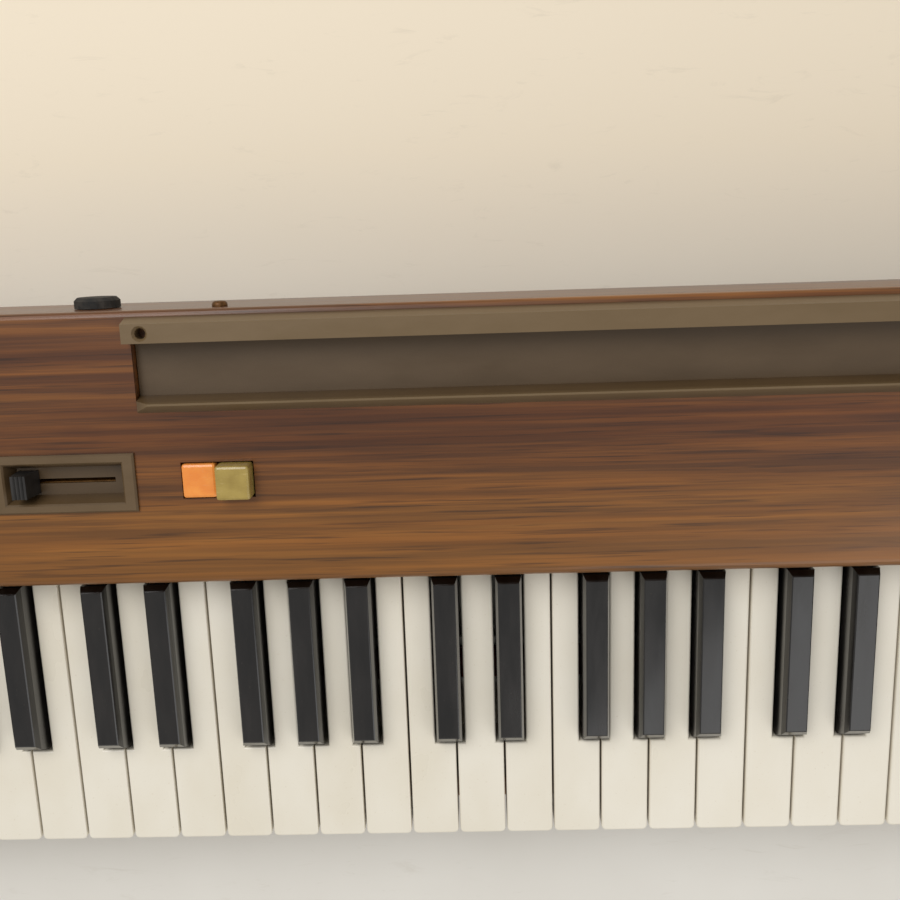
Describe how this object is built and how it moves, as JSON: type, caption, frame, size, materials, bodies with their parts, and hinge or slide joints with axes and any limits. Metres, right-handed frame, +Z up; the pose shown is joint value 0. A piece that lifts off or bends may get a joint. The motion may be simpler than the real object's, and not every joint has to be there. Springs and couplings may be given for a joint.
{
  "type": "digital piano",
  "caption": "Table-top digital piano in a wood-grain case, with pressable keys, two latching tone buttons, slider controls, a music tray and a rear connector plate.",
  "frame": {"origin": "on the table plane, under the middle of the whole part's box", "axes": "+X from the low keys to the high keys, -Y towards the player, +Z up"},
  "size_m": [0.96, 0.274, 0.092],
  "materials": {
    "walnut": "satin wood grain",
    "board": "plain sealed board",
    "ivory": "polished cream moulding",
    "ebony": "polished black moulding",
    "brown_plastic": "satin brown moulding",
    "orange": "glossy orange moulding",
    "khaki": "glossy khaki moulding",
    "black_plastic": "satin black moulding",
    "rubber": "matt",
    "felt": "pressed felt",
    "steel": "plated sheet",
    "circuit": "brown laminate board",
    "transformer": "varnished laminations"
  },
  "bodies": {
    "case": {"bottom_board": "board", "left_cheek": "walnut", "right_cheek": "walnut", "front_rail": "walnut", "rear_board": "walnut", "top_panel": "walnut", "nameboard": "walnut", "music_rest_tray": "brown_plastic", "tremolo_bezel": "brown_plastic", "volume_bezel": "brown_plastic", "control_board": "circuit", "main_board": "circuit", "transformer": "transformer", "connector_plate": "black_plastic", "mains_inlet": "black_plastic", "key_frame": "steel", "down_stop_felt": "felt", "up_stop_felt": "felt", "foot_front_left": "rubber", "foot_front_right": "rubber", "foot_rear_left": "rubber", "foot_rear_right": "rubber", "bumper_left": "rubber", "bumper_right": "rubber"},
    "key_c2": {"key_c2": "ivory"},
    "key_cs2": {"key_cs2": "ebony"},
    "key_d2": {"key_d2": "ivory"},
    "key_ds2": {"key_ds2": "ebony"},
    "key_e2": {"key_e2": "ivory"},
    "key_f2": {"key_f2": "ivory"},
    "key_fs2": {"key_fs2": "ebony"},
    "key_g2": {"key_g2": "ivory"},
    "key_gs2": {"key_gs2": "ebony"},
    "key_a2": {"key_a2": "ivory"},
    "key_as2": {"key_as2": "ebony"},
    "key_b2": {"key_b2": "ivory"},
    "key_c3": {"key_c3": "ivory"},
    "key_cs3": {"key_cs3": "ebony"},
    "key_d3": {"key_d3": "ivory"},
    "key_ds3": {"key_ds3": "ebony"},
    "key_e3": {"key_e3": "ivory"},
    "key_f3": {"key_f3": "ivory"},
    "key_fs3": {"key_fs3": "ebony"},
    "key_g3": {"key_g3": "ivory"},
    "key_gs3": {"key_gs3": "ebony"},
    "key_a3": {"key_a3": "ivory"},
    "key_as3": {"key_as3": "ebony"},
    "key_b3": {"key_b3": "ivory"},
    "key_c4": {"key_c4": "ivory"},
    "comb_low_a": {"comb_low_a": "ivory"},
    "comb_low_b": {"comb_low_b": "ivory"},
    "comb_low_sharps": {"comb_low_sharps": "ebony"},
    "comb_high_a": {"comb_high_a": "ivory"},
    "comb_high_b": {"comb_high_b": "ivory"},
    "comb_high_sharps": {"comb_high_sharps": "ebony"},
    "button_1": {"button_1": "orange"},
    "button_2": {"button_2": "khaki"},
    "tremolo_knob": {"tremolo_knob": "black_plastic"},
    "volume_knob": {"volume_knob": "black_plastic"},
    "power_switch": {"power_switch": "black_plastic"}
  },
  "joints": [
    {"name": "key_c2_hinge", "type": "hinge", "parent": "case", "child": "key_c2", "pos_m": [-0.24675, 0.066, 0.046], "axis": [1, 0, 0], "range_deg": [0, 2.87], "stiffness_Nm_per_rad": 0.8, "springref_deg": -8.59},
    {"name": "key_cs2_hinge", "type": "hinge", "parent": "case", "child": "key_cs2", "pos_m": [-0.2382, 0.066, 0.046], "axis": [1, 0, 0], "range_deg": [0, 2.87], "stiffness_Nm_per_rad": 0.8, "springref_deg": -8.59},
    {"name": "key_d2_hinge", "type": "hinge", "parent": "case", "child": "key_d2", "pos_m": [-0.22325, 0.066, 0.046], "axis": [1, 0, 0], "range_deg": [0, 2.87], "stiffness_Nm_per_rad": 0.8, "springref_deg": -8.59},
    {"name": "key_ds2_hinge", "type": "hinge", "parent": "case", "child": "key_ds2", "pos_m": [-0.2084, 0.066, 0.046], "axis": [1, 0, 0], "range_deg": [0, 2.87], "stiffness_Nm_per_rad": 0.8, "springref_deg": -8.59},
    {"name": "key_e2_hinge", "type": "hinge", "parent": "case", "child": "key_e2", "pos_m": [-0.19975, 0.066, 0.046], "axis": [1, 0, 0], "range_deg": [0, 2.87], "stiffness_Nm_per_rad": 0.8, "springref_deg": -8.59},
    {"name": "key_f2_hinge", "type": "hinge", "parent": "case", "child": "key_f2", "pos_m": [-0.17625, 0.066, 0.046], "axis": [1, 0, 0], "range_deg": [0, 2.87], "stiffness_Nm_per_rad": 0.8, "springref_deg": -8.59},
    {"name": "key_fs2_hinge", "type": "hinge", "parent": "case", "child": "key_fs2", "pos_m": [-0.1677, 0.066, 0.046], "axis": [1, 0, 0], "range_deg": [0, 2.87], "stiffness_Nm_per_rad": 0.8, "springref_deg": -8.59},
    {"name": "key_g2_hinge", "type": "hinge", "parent": "case", "child": "key_g2", "pos_m": [-0.15275, 0.066, 0.046], "axis": [1, 0, 0], "range_deg": [0, 2.87], "stiffness_Nm_per_rad": 0.8, "springref_deg": -8.59},
    {"name": "key_gs2_hinge", "type": "hinge", "parent": "case", "child": "key_gs2", "pos_m": [-0.141, 0.066, 0.046], "axis": [1, 0, 0], "range_deg": [0, 2.87], "stiffness_Nm_per_rad": 0.8, "springref_deg": -8.59},
    {"name": "key_a2_hinge", "type": "hinge", "parent": "case", "child": "key_a2", "pos_m": [-0.12925, 0.066, 0.046], "axis": [1, 0, 0], "range_deg": [0, 2.87], "stiffness_Nm_per_rad": 0.8, "springref_deg": -8.59},
    {"name": "key_as2_hinge", "type": "hinge", "parent": "case", "child": "key_as2", "pos_m": [-0.1142, 0.066, 0.046], "axis": [1, 0, 0], "range_deg": [0, 2.87], "stiffness_Nm_per_rad": 0.8, "springref_deg": -8.59},
    {"name": "key_b2_hinge", "type": "hinge", "parent": "case", "child": "key_b2", "pos_m": [-0.10575, 0.066, 0.046], "axis": [1, 0, 0], "range_deg": [0, 2.87], "stiffness_Nm_per_rad": 0.8, "springref_deg": -8.59},
    {"name": "key_c3_hinge", "type": "hinge", "parent": "case", "child": "key_c3", "pos_m": [-0.08225, 0.066, 0.046], "axis": [1, 0, 0], "range_deg": [0, 2.87], "stiffness_Nm_per_rad": 0.8, "springref_deg": -8.59},
    {"name": "key_cs3_hinge", "type": "hinge", "parent": "case", "child": "key_cs3", "pos_m": [-0.0737, 0.066, 0.046], "axis": [1, 0, 0], "range_deg": [0, 2.87], "stiffness_Nm_per_rad": 0.8, "springref_deg": -8.59},
    {"name": "key_d3_hinge", "type": "hinge", "parent": "case", "child": "key_d3", "pos_m": [-0.05875, 0.066, 0.046], "axis": [1, 0, 0], "range_deg": [0, 2.87], "stiffness_Nm_per_rad": 0.8, "springref_deg": -8.59},
    {"name": "key_ds3_hinge", "type": "hinge", "parent": "case", "child": "key_ds3", "pos_m": [-0.0439, 0.066, 0.046], "axis": [1, 0, 0], "range_deg": [0, 2.87], "stiffness_Nm_per_rad": 0.8, "springref_deg": -8.59},
    {"name": "key_e3_hinge", "type": "hinge", "parent": "case", "child": "key_e3", "pos_m": [-0.03525, 0.066, 0.046], "axis": [1, 0, 0], "range_deg": [0, 2.87], "stiffness_Nm_per_rad": 0.8, "springref_deg": -8.59},
    {"name": "key_f3_hinge", "type": "hinge", "parent": "case", "child": "key_f3", "pos_m": [-0.01175, 0.066, 0.046], "axis": [1, 0, 0], "range_deg": [0, 2.87], "stiffness_Nm_per_rad": 0.8, "springref_deg": -8.59},
    {"name": "key_fs3_hinge", "type": "hinge", "parent": "case", "child": "key_fs3", "pos_m": [-0.0032, 0.066, 0.046], "axis": [1, 0, 0], "range_deg": [0, 2.87], "stiffness_Nm_per_rad": 0.8, "springref_deg": -8.59},
    {"name": "key_g3_hinge", "type": "hinge", "parent": "case", "child": "key_g3", "pos_m": [0.01175, 0.066, 0.046], "axis": [1, 0, 0], "range_deg": [0, 2.87], "stiffness_Nm_per_rad": 0.8, "springref_deg": -8.59},
    {"name": "key_gs3_hinge", "type": "hinge", "parent": "case", "child": "key_gs3", "pos_m": [0.0235, 0.066, 0.046], "axis": [1, 0, 0], "range_deg": [0, 2.87], "stiffness_Nm_per_rad": 0.8, "springref_deg": -8.59},
    {"name": "key_a3_hinge", "type": "hinge", "parent": "case", "child": "key_a3", "pos_m": [0.03525, 0.066, 0.046], "axis": [1, 0, 0], "range_deg": [0, 2.87], "stiffness_Nm_per_rad": 0.8, "springref_deg": -8.59},
    {"name": "key_as3_hinge", "type": "hinge", "parent": "case", "child": "key_as3", "pos_m": [0.0503, 0.066, 0.046], "axis": [1, 0, 0], "range_deg": [0, 2.87], "stiffness_Nm_per_rad": 0.8, "springref_deg": -8.59},
    {"name": "key_b3_hinge", "type": "hinge", "parent": "case", "child": "key_b3", "pos_m": [0.05875, 0.066, 0.046], "axis": [1, 0, 0], "range_deg": [0, 2.87], "stiffness_Nm_per_rad": 0.8, "springref_deg": -8.59},
    {"name": "key_c4_hinge", "type": "hinge", "parent": "case", "child": "key_c4", "pos_m": [0.08225, 0.066, 0.046], "axis": [1, 0, 0], "range_deg": [0, 2.87], "stiffness_Nm_per_rad": 0.8, "springref_deg": -8.59},
    {"name": "comb_low_a_hinge", "type": "hinge", "parent": "case", "child": "comb_low_a", "pos_m": [-0.34, 0.066, 0.046], "axis": [1, 0, 0], "range_deg": [0, 2.87], "stiffness_Nm_per_rad": 3.2, "springref_deg": -8.59},
    {"name": "comb_low_b_hinge", "type": "hinge", "parent": "case", "child": "comb_low_b", "pos_m": [-0.34, 0.066, 0.046], "axis": [1, 0, 0], "range_deg": [0, 2.87], "stiffness_Nm_per_rad": 2.4, "springref_deg": -8.59},
    {"name": "comb_low_sharps_hinge", "type": "hinge", "parent": "case", "child": "comb_low_sharps", "pos_m": [-0.34, 0.066, 0.046], "axis": [1, 0, 0], "range_deg": [0, 2.87], "stiffness_Nm_per_rad": 4, "springref_deg": -8.59},
    {"name": "comb_high_a_hinge", "type": "hinge", "parent": "case", "child": "comb_high_a", "pos_m": [0.26, 0.066, 0.046], "axis": [1, 0, 0], "range_deg": [0, 2.87], "stiffness_Nm_per_rad": 5.6, "springref_deg": -8.59},
    {"name": "comb_high_b_hinge", "type": "hinge", "parent": "case", "child": "comb_high_b", "pos_m": [0.26, 0.066, 0.046], "axis": [1, 0, 0], "range_deg": [0, 2.87], "stiffness_Nm_per_rad": 5.6, "springref_deg": -8.59},
    {"name": "comb_high_sharps_hinge", "type": "hinge", "parent": "case", "child": "comb_high_sharps", "pos_m": [0.26, 0.066, 0.046], "axis": [1, 0, 0], "range_deg": [0, 2.87], "stiffness_Nm_per_rad": 8, "springref_deg": -8.59},
    {"name": "button_1_slide", "type": "slide", "parent": "case", "child": "button_1", "axis": [0, 0, 1], "range_m": [0, 0.006]},
    {"name": "button_2_slide", "type": "slide", "parent": "case", "child": "button_2", "axis": [0, 0, 1], "range_m": [-0.006, 0]},
    {"name": "tremolo_knob_slide", "type": "slide", "parent": "case", "child": "tremolo_knob", "axis": [1, 0, 0], "range_m": [0, 0.036]},
    {"name": "volume_knob_slide", "type": "slide", "parent": "case", "child": "volume_knob", "axis": [1, 0, 0], "range_m": [0, 0.036]},
    {"name": "power_switch_hinge", "type": "hinge", "parent": "case", "child": "power_switch", "pos_m": [0.326, 0.1307, 0.0505], "axis": [1, 0, 0], "range_deg": [-16, 0]}
  ],
  "couplings": [
    {"joint": "button_2_slide", "follows": "button_1_slide", "ratio": -1}
  ]
}
